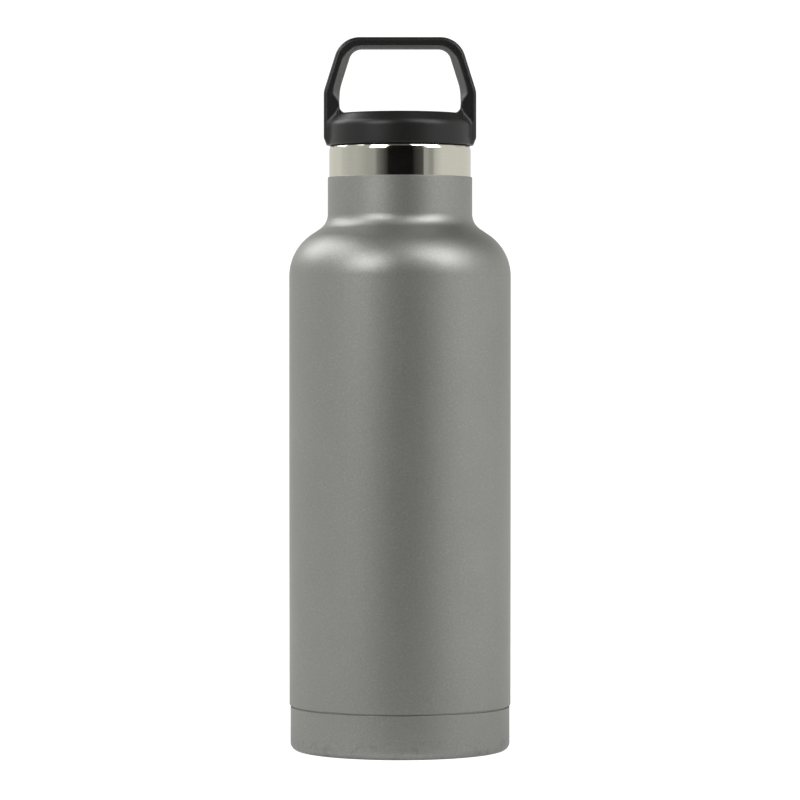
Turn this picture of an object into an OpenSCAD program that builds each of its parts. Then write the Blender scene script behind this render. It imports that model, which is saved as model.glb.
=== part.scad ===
// Vacuum-insulated growler bottle with a screw lid and a rigid carry handle.
// Z points up, the origin is the centre of the base on the floor, and the handle lies in the XZ plane.

/* [Body] */
// Diameter of the straight outer wall
body_d = 86; // [84:0.5:90]
// Thickness of the outer steel wall
outer_wall = 0.4; // [0.4:0.1:0.8]
// Height where the wall starts to curve into the shoulder
shoulder_z = 184.4; // [150:0.1:230]
// Radius of the round edge of the shoulder
shoulder_r = 19.5; // [17:0.5:20]
// Slope of the shoulder above the horizontal, in degrees
shoulder_angle = 34; // [30:1:40]
// Radius of the hollow fillet between shoulder and neck
neck_fillet_r = 7; // [5:0.5:9]
// Diameter of the coated neck
neck_d = 56.1; // [55.8:0.1:56.4]
// Height of the coated neck's upper edge above the start of the shoulder
neck_rise = 37.9; // [34:0.1:42]

/* [Base] */
// Diameter of the cap over the bottom
base_d = 85.2; // [85.2:0.1:85.6]
// Height of the base cap
base_h = 17; // [14:0.5:24]
// Radius of the base cap's lower edge
base_edge_r = 4.7; // [3:0.1:4.9]
// Width of the groove above the base cap
groove_w = 0.6; // [0.4:0.1:1]
// Height of the recess in the middle of the base
recess_h = 1.6; // [1:0.1:2]

/* [Inner vessel] */
// Thickness of the inner steel wall
inner_wall = 0.4; // [0.4:0.1:0.6]
// Vacuum gap between the outer and the inner wall
vacuum_gap = 3; // [2.4:0.1:3.4]
// Outer diameter of the inner neck
inner_neck_d = 53.2; // [53:0.1:53.6]
// Height of the inner floor's underside
inner_floor_z = 9; // [8.8:0.1:11]

/* [Mouth] */
// Outer diameter of the bare steel collar
collar_d = 55; // [54.9:0.1:55]
// Diameter of the mouth's bore
mouth_d = 51.8; // [51.7:0.1:51.9]
// Height of the collar that shows above the coated neck
collar_h = 12; // [11.4:0.1:12.4]
// How far the rolled lip stands out from the collar
lip_out = 0.2; // [0.2:0.05:0.6]

/* [Thread] */
// Rise of the lid in one full turn
lead = 8; // [7.6:0.1:8.4]
// Number of thread starts
starts = 2; // [1:1:2]
// Turns that each thread ridge runs
ridge_turns = 1.125; // [0.75:0.125:1.125]

/* [Lid] */
// Diameter of the lid's skirt
lid_d = 56.3; // [56:0.1:58]
// Height of the skirt's straight side
skirt_h = 8.5; // [8:0.1:10]
// Height of the sloped edge above the skirt
bevel_h = 3.8; // [3:0.1:5]
// Diameter of the flat top
top_d = 49.4; // [47:0.1:50]
// Gap between the mouth's rim and the lid
rim_gap = 0.3; // [0.3:0.1:0.5]

/* [Handle] */
// Width across the two legs
handle_w = 59; // [59:0.2:62]
// Height of the handle above the lid's flat top
handle_h = 29.4; // [27:0.1:34]
// Height of the opening under the grip
opening_h = 25.3; // [23:0.1:26]
// Half the handle's depth, front to back
handle_half_depth = 6.75; // [6:0.25:9]
// Lean of the legs from the vertical, in degrees
leg_lean = 17.5; // [14:0.5:19]
// Width of the bevel along the inner edges
inner_bevel = 1.9; // [1:0.1:2]
// Width of the bevel along the outer edges
outer_bevel = 0.8; // [0.4:0.1:1]

/* [Hidden] */
$fn = 128;
eps = 0.01;

body_r = body_d / 2;
neck_r = neck_d / 2;
paint_z = shoulder_z + neck_rise;

// Base: the shell steps in below the groove so that the cap sits flush round it.
base_r = base_d / 2;
base_wall = 0.5;
glue_gap = 0.1;
step_r = base_r - base_wall - glue_gap;
step_z = base_h + groove_w;
recess_r = 30;

// Vacuum bottom: a pressed plate that closes the outer wall.
plate_t = 0.6;
plate_rim_z = 6;
plate_floor_z = 5;
port_r = 1;
dimple_r = 6.5;
dimple_z = 6.2;
seal_bead_r = 4.5;
seal_bead_h = 1;
getter_x = 18;
getter_r = 5;
getter_h = 1.5;
clip_t = 0.3;
clip_w = 3;
clip_foot = 2;

// Inner vessel, a constant vacuum gap inside the outer wall.
vessel_r = body_r - outer_wall - vacuum_gap;
vessel_arc_r = shoulder_r - outer_wall - vacuum_gap;
vessel_fillet_r = 8;
inner_neck_r = inner_neck_d / 2;
vessel_seam_z = inner_floor_z + 9;
vessel_edge_r = 4;
shield_gap = 0.1;
shield_t = 0.15;

// Collar: welded between the two necks, it carries the thread.
collar_r = collar_d / 2;
mouth_r = mouth_d / 2;
rim_z = paint_z + collar_h;
collar_low_z = paint_z - 7.8;
lip_h = 1.1;
lip_flare_h = 1.2;

// Thread ridges, symmetric trapezoids that fade into the wall at both ends.
pitch = lead / starts;
ridge_foot = 1.1;
ridge_tip = 0.55;
ridge_root = 0.2;
ridge_steps = 40;
fade_steps = 3;
plug_r = 24.2;
male_tip_r = 25.4;
female_tip_r = 24.75;
male_low_z = rim_z - 16.3;
female_low_z = male_low_z + pitch / 2;

// Lid heights and the cavity that takes the plug.
lid_r = lid_d / 2;
top_r = top_d / 2;
lid_z = rim_z + rim_gap;
bevel_z = lid_z + skirt_h;
top_z = bevel_z + bevel_h;
lid_top_t = 2.6;
ceiling_z = top_z - lid_top_t;
cavity_r = 24.9;
plug_head_r = cavity_r - glue_gap;
plug_bore_r = 22.2;
plug_floor_z = rim_z - 18.3;
plug_floor_t = 2;
groove_r = 23.6;
groove_low_z = rim_z - 2.6;
shoulder_lip = 0.4;
shoulder_lip_h = 0.9;
foam_gap = 0.2;
seal_in_r = 23.8;
seal_out_r = mouth_r - 0.2;
seal_low_z = rim_z - 2.4;
seal_h = 2.3;
seal_edge = 0.5;

// Handle corners, from the foot of a leg to the middle of the grip.
leg_x = handle_w / 2;
leg_t = 6.1;
grip_z = top_z + handle_h;
opening_z = top_z + opening_h;
bend_z = top_z + 8.4;
inner_bend_z = bend_z + 0.9;
foot_chamfer = 2.4;
root_fillet = 2;
corner_steps = 6;
outer_corner_r = 10;
inner_corner_r = 5;
outer_bend_r = 9;
inner_bend_r = 18;

// Solid of revolution round the vertical axis
module turned() {
    rotate_extrude() children();
}

// Half outline of a wall's surface: straight side, round shoulder, cone, hollow fillet and neck
module bottle_half(r_side, r_arc, r_fillet, r_neck, low_z, high_z) {
    turn = 90 - shoulder_angle;
    arc_end = [r_side - r_arc + r_arc * cos(turn), shoulder_z + r_arc * sin(turn)];
    cone_top_r = r_neck + r_fillet * (1 - cos(turn));
    cone_top = [cone_top_r, arc_end[1] + (arc_end[0] - cone_top_r) * tan(shoulder_angle)];
    fillet_z = cone_top[1] + r_fillet * sin(turn);
    difference() {
        union() {
            polygon([
                [0, low_z],
                [r_side, low_z],
                [r_side, shoulder_z],
                arc_end,
                cone_top,
                [r_neck, fillet_z],
                [r_neck, high_z],
                [0, high_z]
            ]);
            translate([r_side - r_arc, shoulder_z]) circle(r_arc);
        }
        translate([r_neck + r_fillet, fillet_z]) circle(r_fillet);
    }
}

// Half outline of a cup with a rounded lower edge
module cup_half(r, low_z, high_z, edge_r) {
    polygon([[0, low_z], [r - edge_r, low_z], [r, low_z + edge_r], [r, high_z], [0, high_z]]);
    translate([r - edge_r, low_z + edge_r]) circle(edge_r);
}

// Half section of a pressed sheet, given by the points of its upper side
module sheet_half(upper, t) {
    lower = [for (i = [len(upper) - 1 : -1 : 0]) upper[i] - [0, t]];
    polygon(concat(upper, lower));
}

// Closed solid through a list of rings that all have the same number of points
module skin(rings) {
    n = len(rings[0]);
    last = (len(rings) - 1) * n;
    sides = [
        for (i = [0 : len(rings) - 2])
            for (j = [0 : n - 1])
                for (half = [0 : 1])
                    let (a = i * n + j, b = i * n + (j + 1) % n)
                        half == 0 ? [a, b, b + n] : [a, b + n, a + n]
    ];
    start_cap = [[for (j = [n - 1 : -1 : 0]) j]];
    end_cap = [[for (j = [0 : n - 1]) last + j]];
    polyhedron(points = [for (ring = rings) for (p = ring) p], faces = concat(sides, start_cap, end_cap));
}

// One section of a thread ridge at an angle; root_r lies inside the wall, and grow is 0 at a faded end
function ridge_ring(angle, z, root_r, wall_r, tip_r, grow) =
    let (
        r = wall_r + (tip_r - wall_r) * grow,
        foot = ridge_foot * (0.4 + 0.6 * grow),
        tip = ridge_tip * (0.4 + 0.6 * grow),
        c = cos(angle),
        s = sin(angle)
    )
    [
        [root_r * c, root_r * s, z - foot],
        [r * c, r * s, z - tip],
        [r * c, r * s, z + tip],
        [root_r * c, root_r * s, z + foot]
    ];

// Every start of a right-hand thread; outward ridges have a root inside the tip
module thread_ridges(low_z, root_r, wall_r, tip_r) {
    for (k = [0 : starts - 1])
        let (
            rings = [
                for (i = [0 : ridge_steps])
                    let (
                        turn = ridge_turns * i / ridge_steps,
                        grow = min(1, (i + 0.4) / fade_steps, (ridge_steps - i + 0.4) / fade_steps),
                        ring = ridge_ring(360 * (turn + k / starts), low_z + lead * turn,
                                          root_r, wall_r, tip_r, grow)
                    )
                    root_r < tip_r ? ring : [for (j = [3 : -1 : 0]) ring[j]]
            ]
        )
        skin(rings);
}

// Unit vector along v
function unit(v) = v / norm(v);

// Points of the arc that rounds corner p between a and b
function corner_arc(a, p, b, r) =
    let (
        u = unit(a - p),
        v = unit(b - p),
        half = acos(u * v) / 2,
        centre = p + unit(u + v) * r / sin(half),
        from = unit(p + u * r / tan(half) - centre),
        to = unit(p + v * r / tan(half) - centre),
        sweep = 180 - 2 * half
    )
    [
        for (k = [0 : corner_steps])
            let (f = k / corner_steps)
            centre + r * (sin((1 - f) * sweep) * from + sin(f * sweep) * to) / sin(sweep)
    ];

// A path of corners [x, z, radius], with each radius over 0 turned into an arc
function rounded(path) = [
    for (i = [0 : len(path) - 1])
        let (p = [path[i][0], path[i][1]])
        for (q = path[i][2] > 0
                ? corner_arc([path[i - 1][0], path[i - 1][1]], p, [path[i + 1][0], path[i + 1][1]], path[i][2])
                : [p])
            q
];

// The right half of a path and its mirror image, joined over the middle
function both_sides(right) = concat(right, [for (i = [len(right) - 1 : -1 : 0]) [-right[i][0], right[i][1]]]);

// One section of the handle between an outer and an inner point, with bevelled edges
function handle_ring(outer, inner) =
    let (
        t = norm(inner - outer),
        d = unit(inner - outer),
        w = handle_half_depth,
        marks = [
            [0, outer_bevel - w],
            [outer_bevel, -w],
            [t - inner_bevel, -w],
            [t, inner_bevel - w],
            [t, w - inner_bevel],
            [t - inner_bevel, w],
            [outer_bevel, w],
            [0, w - outer_bevel]
        ]
    )
    [for (m = marks) [outer[0] + d[0] * m[0], m[1], outer[1] + d[1] * m[0]]];

// The carry handle: two legs up the sides of the lid and a grip across the top
module handle() {
    lean_x = tan(leg_lean);
    outer_top_x = leg_x - (grip_z - bend_z) * lean_x;
    inner_x = leg_x - leg_t;
    inner_top_x = inner_x - (opening_z - inner_bend_z) * lean_x;
    outer_path = [
        [lid_r + 0.1, lid_z + 0.3, 0],
        [leg_x, lid_z + 0.3 + foot_chamfer, 0],
        [leg_x, top_z - 0.3, 0],
        [leg_x, top_z + 2, 0],
        [leg_x, bend_z, outer_bend_r],
        [outer_top_x, grip_z, outer_corner_r],
        [eps, grip_z, 0]
    ];
    inner_path = [
        [inner_x, lid_z + 0.3, 0],
        [inner_x, lid_z + 0.3 + foot_chamfer, 0],
        [inner_x - root_fillet, top_z - 0.3, 0],
        [inner_x, top_z + 2.4, 0],
        [inner_x, inner_bend_z, inner_bend_r],
        [inner_top_x, opening_z, inner_corner_r],
        [eps, opening_z, 0]
    ];
    outer = both_sides(rounded(outer_path));
    inner = both_sides(rounded(inner_path));
    skin([for (i = [0 : len(outer) - 1]) handle_ring(outer[i], inner[i])]);
}

// Coated outer wall, one drawn tube from the step above the base to the neck's upper edge
module outer_shell() {
    color([0.53, 0.53, 0.51]) turned() difference() {
        union() {
            bottle_half(body_r, shoulder_r, neck_fillet_r, neck_r, step_z, paint_z);
            translate([0, plate_rim_z]) square([step_r, step_z - plate_rim_z + eps]);
        }
        bottle_half(body_r - outer_wall, shoulder_r - outer_wall, neck_fillet_r + outer_wall,
                    neck_r - outer_wall, step_z + outer_wall, paint_z + 1);
        translate([0, plate_rim_z - 1]) square([step_r - outer_wall, step_z - plate_rim_z + 1 + outer_wall]);
    }
}

// Coated cup over the bottom, with a recessed middle
module base_cap() {
    t = base_wall;
    color([0.52, 0.52, 0.5]) turned() difference() {
        cup_half(base_r, 0, base_h, base_edge_r);
        polygon([[0, -1], [recess_r, -1], [recess_r, 0], [recess_r - recess_h, recess_h], [0, recess_h]]);
        difference() {
            cup_half(base_r - t, t, base_h + 1, base_edge_r - t);
            polygon([[0, 0], [recess_r + t, 0], [recess_r + t - recess_h, recess_h + t], [0, recess_h + t]]);
        }
    }
}

// Pressed plate that closes the outer wall, with the evacuation port in a dimple
module vacuum_bottom() {
    color([0.72, 0.72, 0.74]) turned() sheet_half([
        [port_r, dimple_z],
        [dimple_r, dimple_z],
        [dimple_r + 1.5, plate_floor_z],
        [step_r - 6, plate_floor_z],
        [step_r - 4, plate_rim_z],
        [step_r, plate_rim_z]
    ], plate_t);
}

// Bead that closes the evacuation port from below
module port_seal() {
    bead_r = (pow(seal_bead_r, 2) + pow(seal_bead_h, 2)) / (2 * seal_bead_h);
    bead_z = dimple_z - plate_t;
    color([0.45, 0.5, 0.42]) turned() intersection() {
        translate([0, bead_z - seal_bead_h + bead_r]) circle(bead_r);
        translate([0, bead_z - seal_bead_h]) square([seal_bead_r, seal_bead_h]);
    }
}

// Pellet on the vacuum side of the plate
module getter() {
    color([0.4, 0.4, 0.42]) translate([getter_x, 0, plate_floor_z]) cylinder(h = getter_h, r = getter_r);
}

// Thin strap over the pellet, with a foot on each side
module getter_clip() {
    reach = getter_r + clip_t;
    color([0.75, 0.75, 0.76]) translate([getter_x, clip_w / 2, plate_floor_z]) rotate([90, 0, 0])
        linear_extrude(clip_w) difference() {
            union() {
                translate([-reach - clip_foot, 0]) square([2 * (reach + clip_foot), clip_t]);
                translate([-reach, 0]) square([2 * reach, getter_h + clip_t]);
            }
            translate([-getter_r, -1]) square([2 * getter_r, getter_h + 1]);
        }
}

// Foil sleeve round the straight side of the inner vessel
module heat_shield() {
    in_r = vessel_r + shield_gap;
    color([0.86, 0.87, 0.88]) translate([0, 0, vessel_seam_z + 2]) difference() {
        cylinder(h = shoulder_z - vessel_seam_z - 6, r = in_r + shield_t);
        translate([0, 0, -1]) cylinder(h = shoulder_z - vessel_seam_z, r = in_r);
    }
}

// Inner bottle, open at both ends
module inner_vessel() {
    color([0.74, 0.74, 0.75]) turned() difference() {
        bottle_half(vessel_r, vessel_arc_r, vessel_fillet_r, inner_neck_r, vessel_seam_z, collar_low_z);
        bottle_half(vessel_r - inner_wall, vessel_arc_r - inner_wall, vessel_fillet_r + inner_wall,
                    inner_neck_r - inner_wall, vessel_seam_z - 1, collar_low_z + 1);
    }
}

// Dished bottom welded to the inner bottle
module inner_bottom() {
    color([0.72, 0.72, 0.74]) turned() difference() {
        cup_half(vessel_r, inner_floor_z, vessel_seam_z, vessel_edge_r);
        cup_half(vessel_r - inner_wall, inner_floor_z + inner_wall, vessel_seam_z + 1,
                 vessel_edge_r - inner_wall);
    }
}

// Bare steel ring of the mouth, with a rolled lip and the inside thread
module mouth_collar() {
    lip_low_z = rim_z - lip_h;
    color([0.8, 0.8, 0.8]) union() {
        turned() polygon([
            [mouth_r, collar_low_z],
            [collar_r, collar_low_z],
            [collar_r, lip_low_z - lip_flare_h],
            [collar_r + lip_out / 3, lip_low_z - lip_flare_h / 3],
            [collar_r + lip_out, lip_low_z],
            [collar_r + lip_out, rim_z - 0.5],
            [collar_r + lip_out - 0.5, rim_z],
            [mouth_r + 0.6, rim_z],
            [mouth_r, rim_z - 0.9]
        ]);
        thread_ridges(female_low_z, mouth_r + ridge_root, mouth_r, female_tip_r);
    }
}

// Silicone ring in the groove under the lid
module lid_seal() {
    high_z = seal_low_z + seal_h;
    color([0.85, 0.85, 0.83]) turned() polygon([
        [seal_in_r, seal_low_z],
        [seal_out_r - seal_edge, seal_low_z],
        [seal_out_r, seal_low_z + seal_edge],
        [seal_out_r, high_z - seal_edge],
        [seal_out_r - seal_edge, high_z],
        [seal_in_r, high_z]
    ]);
}

// Outer lid and the handle, moulded in one piece
module lid_shell() {
    color([0.13, 0.13, 0.13]) difference() {
        union() {
            turned() polygon([
                [0, lid_z],
                [lid_r - 0.4, lid_z],
                [lid_r, lid_z + 0.4],
                [lid_r, bevel_z],
                [top_r, top_z],
                [0, top_z]
            ]);
            handle();
        }
        translate([0, 0, lid_z - 1]) cylinder(h = ceiling_z - lid_z + 1, r = cavity_r);
    }
}

// Threaded inner half of the lid, a cup closed at the bottom
module lid_plug() {
    lip_z = groove_low_z - shoulder_lip_h;
    groove_high_z = rim_z + 0.1;
    color([0.2, 0.2, 0.2]) union() {
        turned() polygon([
            [0, plug_floor_z],
            [plug_r - 1, plug_floor_z],
            [plug_r, plug_floor_z + 1],
            [plug_r, lip_z],
            [plug_r + shoulder_lip, lip_z],
            [plug_r + shoulder_lip, groove_low_z],
            [groove_r, groove_low_z],
            [groove_r, groove_high_z],
            [plug_head_r, groove_high_z],
            [plug_head_r, ceiling_z],
            [plug_bore_r, ceiling_z],
            [plug_bore_r, plug_floor_z + plug_floor_t],
            [0, plug_floor_z + plug_floor_t]
        ]);
        thread_ridges(male_low_z, plug_r - ridge_root, plug_r, male_tip_r);
    }
}

// Insulation block inside the plug
module lid_foam() {
    low_z = plug_floor_z + plug_floor_t + foam_gap;
    color([0.93, 0.91, 0.82]) translate([0, 0, low_z])
        cylinder(h = ceiling_z - foam_gap - low_z, r = plug_bore_r - foam_gap);
}

outer_shell();
base_cap();
vacuum_bottom();
port_seal();
getter();
getter_clip();
heat_shield();
inner_vessel();
inner_bottom();
mouth_collar();
lid_seal();
lid_shell();
lid_plug();
lid_foam();
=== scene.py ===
import math

import bpy
import numpy as np
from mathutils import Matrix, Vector


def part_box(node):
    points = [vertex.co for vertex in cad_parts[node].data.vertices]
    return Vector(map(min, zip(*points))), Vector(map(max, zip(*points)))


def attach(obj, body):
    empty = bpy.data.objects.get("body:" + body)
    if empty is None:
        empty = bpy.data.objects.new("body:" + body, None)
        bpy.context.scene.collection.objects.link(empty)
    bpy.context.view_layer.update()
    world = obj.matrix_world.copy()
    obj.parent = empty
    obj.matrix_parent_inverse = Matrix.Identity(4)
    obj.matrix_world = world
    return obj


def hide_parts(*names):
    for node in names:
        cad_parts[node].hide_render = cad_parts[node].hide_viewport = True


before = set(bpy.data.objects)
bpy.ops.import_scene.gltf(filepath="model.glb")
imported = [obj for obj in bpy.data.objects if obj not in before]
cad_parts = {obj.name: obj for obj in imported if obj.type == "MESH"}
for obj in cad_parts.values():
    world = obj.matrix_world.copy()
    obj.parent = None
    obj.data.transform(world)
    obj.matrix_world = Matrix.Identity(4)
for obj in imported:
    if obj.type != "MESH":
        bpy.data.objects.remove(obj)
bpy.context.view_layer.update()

# ================================================================ sizes, in millimetres

MM = 0.001


def low_z(node):
    """Height of a node's lowest point."""
    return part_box(node)[0][2] / MM


def high_z(node):
    """Height of a node's highest point."""
    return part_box(node)[1][2] / MM


def half_width(node):
    """How far a node reaches from the axis along X."""
    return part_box(node)[1][0] / MM


# body
BODY_R = half_width("outer_shell")
NECK_R = 28.05
WALL = 0.4
SHOULDER_Z = 183.9
SHOULDER_R = 19.5
SHOULDER_ANGLE = math.radians(34)
NECK_FILLET_R = 7.0
PAINT_Z = high_z("outer_shell")
STEP_LOW_Z = low_z("outer_shell")
# base
BASE_R = half_width("base_cap")
BASE_TOP_Z = high_z("base_cap")
BASE_WALL = 0.5
BASE_EDGE_R = 3.0
RECESS_R = 30.0
RECESS_H = 1.6
GROOVE = 0.6
STEP_R = BASE_R - BASE_WALL - 0.1
# vacuum plate
PLATE_TOP_Z = high_z("vacuum_bottom")
PLATE_T = 0.6
# inner vessel
VESSEL_R = half_width("inner_vessel")
INNER_NECK_R = 26.6
INNER_FLOOR_Z = low_z("inner_bottom")
SEAM_Z = high_z("inner_bottom")
VESSEL_ARC_R = SHOULDER_R - BODY_R + VESSEL_R
VESSEL_FILLET_R = 8.0
# mouth
RIM_Z = high_z("mouth_collar")
COLLAR_LOW_Z = low_z("mouth_collar")
COLLAR_R = 27.5
LIP_CORNER_Z = RIM_Z - 1.03
LIP_IN = 0.5
LIP_CURVE_R = 4.5
MOUTH_R = 25.9
# thread: half the width of a ridge at its foot and tip, and the share of a turn it rises over
LEAD = 8.0
STARTS = 2
RIDGE_TURNS = 1.125
RIDGE_FOOT = 1.1
RIDGE_TIP = 0.5
RIDGE_FADE = 0.07
MALE_LOW_Z = RIM_Z - 16.3
FEMALE_LOW_Z = MALE_LOW_Z + LEAD / STARTS / 2
MALE_TIP_R = 25.35
FEMALE_TIP_R = 24.8
# lid
LID_R = 28.15
LID_Z = low_z("lid_shell")
BEVEL_Z = LID_Z + 8.35
TOP_Z = BEVEL_Z + 3.95
TOP_R = 24.7
CAVITY_R = 24.9
CEILING_Z = high_z("lid_plug")
PLUG_LOW_Z = low_z("lid_plug")
PLUG_R = 24.2
PLUG_HEAD_R = 24.8
PLUG_BORE_R = 22.2
# handle
LEG_X = half_width("lid_shell")
LEG_T = 6.1
INNER_X = LEG_X - LEG_T
FOOT_Z = LID_Z + 0.3
FOOT_CHAMFER = 2.4
GRIP_Z = high_z("lid_shell")
OPENING_Z = TOP_Z + 25.0
HALF_DEPTH = 6.75
LEAN = math.tan(math.radians(17.5))
BEND_Z = TOP_Z + 8.4
OUTER_BEND_R = 9.0
INNER_BEND_Z = BEND_Z + 0.9
INNER_BEND_R = 18.0
OUTER_CORNER_R = 10.0
INNER_CORNER_R = 5.0
OUTER_EDGE_R = 1.5
INNER_EDGE_R = 0.5
# The opening widens from its middle to both faces, more at the legs than under the grip.
LEG_TAPER = 2.5
LEG_FLAT = 1.0
GRIP_TAPER = 1.3
GRIP_FLAT = 2.7
TAPER_LOW_Z = TOP_Z + 3.5
TAPER_HIGH_Z = TOP_Z + 8.5
GRIP_LOW_Z = OPENING_Z - 5.0
# Where the lid's top runs into the legs inside the opening: fillet, and where it sets in
ROOT_FILLET = 3.6
ROOT_LOW_Z = TOP_Z - 1.5
ROOT_HIGH_Z = TOP_Z + 0.3
ROOT_REACH = 1.2
# Blend widths that round the other edges of the lid
BEVEL_BLEND = 0.95
EDGE_BLEND = 0.7
TAPER_BLEND = 0.5
LEG_BLEND = 1.6
CEILING_BLEND = 0.5
CAVITY_BLEND = 0.4

# ================================================================ mesh fineness

SHARP = 0.08  # radius of a corner that is given none
LARGE_ARC_R = 1.5
LARGE_ARC_STEP = 2.5  # degrees
SMALL_ARC_STEP = 12
FINE, MEDIUM, COARSE = 288, 200, 160  # segments of a turned piece
THREAD_ROW = 0.22  # height of a row of faces on a threaded wall
ON_WALL = 1e-6
OUTLINE_STEPS = 24  # stretches for each arc of the handle's outline
PROBE = 0.02  # distance over which a slope is measured
LID_CELL = 0.42
LID_MARGIN = 0.61
SETTLING_ROUNDS = 5

# ================================================================ shared mathematics


def unit(v):
    return v / np.linalg.norm(v)


def eased(value, low, high):
    """Rises smoothly from 0 at low to 1 at high."""
    share = np.clip((value - low) / (high - low), 0, 1)
    return share * share * (3 - 2 * share)


def smooth_max(a, b, k):
    h = np.clip(0.5 + 0.5 * (a - b) / k, 0, 1)
    return b + (a - b) * h + k * h * (1 - h)


def smooth_min(a, b, k):
    return -smooth_max(-a, -b, k)


def rounded_max(a, b, radius):
    """The intersection of two solids, with its edge rounded to a radius."""
    edge = np.hypot(np.maximum(a + radius, 0), np.maximum(b + radius, 0)) - radius
    return np.minimum(np.maximum(a + radius, b + radius), 0) + edge


def turning(a, b):
    """The angle from one direction to the next, positive to the left."""
    return math.atan2(a[0] * b[1] - a[1] * b[0], a @ b)


# ================================================================ turned pieces


def profile(corners):
    """Points and normals along corners (r, z, radius); the outside lies to the right."""
    pts, normals = [], []
    c = [np.array(p[:2], float) for p in corners]
    last = len(c) - 1
    for i, corner in enumerate(corners):
        if i in (0, last):
            way = unit(c[1] - c[0]) if i == 0 else unit(c[last] - c[last - 1])
            pts.append(c[i])
            normals.append(np.array([way[1], -way[0]]))
            continue
        a, b = unit(c[i] - c[i - 1]), unit(c[i + 1] - c[i])
        turn = turning(a, b)
        radius = corner[2] if len(corner) > 2 and corner[2] > 0 else SHARP
        start = c[i] - a * radius * math.tan(abs(turn) / 2)
        side = np.array([-a[1], a[0]]) * math.copysign(1, turn)
        centre = start + side * radius
        step = LARGE_ARC_STEP if radius > LARGE_ARC_R else SMALL_ARC_STEP
        steps = max(2, math.ceil(abs(math.degrees(turn)) / step))
        for k in range(steps + 1):
            angle = turn * k / steps
            s, cs = math.sin(angle), math.cos(angle)
            spoke = np.array([-side[0] * cs + side[1] * s, -side[0] * s - side[1] * cs])
            pts.append(centre + spoke * radius)
            normals.append(spoke * math.copysign(1, turn))
    return np.array(pts), np.array(normals)


def looped(corners):
    """The same closed section, starting in the middle of its last stretch."""
    first, last = corners[0], corners[-1]
    middle = ((first[0] + last[0]) / 2, (first[1] + last[1]) / 2)
    return [middle, *corners, middle]


def mesh_object(name, verts, faces, normals):
    """A smooth object from vertices in millimetres and their normals."""
    mesh = bpy.data.meshes.new(name)
    mesh.from_pydata((np.asarray(verts) * MM).tolist(), [], faces)
    mesh.polygons.foreach_set("use_smooth", [True] * len(mesh.polygons))
    mesh.update()
    mesh.normals_split_custom_set_from_vertices(np.asarray(normals).tolist())
    obj = bpy.data.objects.new(name, mesh)
    bpy.context.scene.collection.objects.link(obj)
    return obj


def ridge_height(angle, z, low):
    """Height of the thread's ridges at an angle and a height, from 0 to 1."""
    height = np.zeros(np.broadcast(angle, z).shape)
    for start in range(STARTS):
        phase = (angle / (2 * math.pi) - start / STARTS) % 1.0
        for lap in range(-1, 3):
            turn = phase + lap
            away = np.abs(z - (low + LEAD * turn))
            flank = eased(-away, -RIDGE_FOOT, -RIDGE_TIP)
            fade = eased(np.minimum(turn, RIDGE_TURNS - turn), 0, RIDGE_FADE)
            height = np.maximum(height, flank * fade)
    return height


def with_thread_rows(pts, normals, wall_r):
    """The section with extra points along the straight wall that carries the thread."""
    rows, row_normals = [], []
    for i, point in enumerate(pts):
        following = pts[(i + 1) % len(pts)]
        rows.append(point)
        row_normals.append(normals[i])
        if abs(point[0] - wall_r) < ON_WALL and abs(following[0] - wall_r) < ON_WALL:
            extra = int(abs(following[1] - point[1]) / THREAD_ROW)
            for k in range(1, extra):
                rows.append(point + (following - point) * k / extra)
                row_normals.append(normals[i])
    return np.array(rows), np.array(row_normals)


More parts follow.
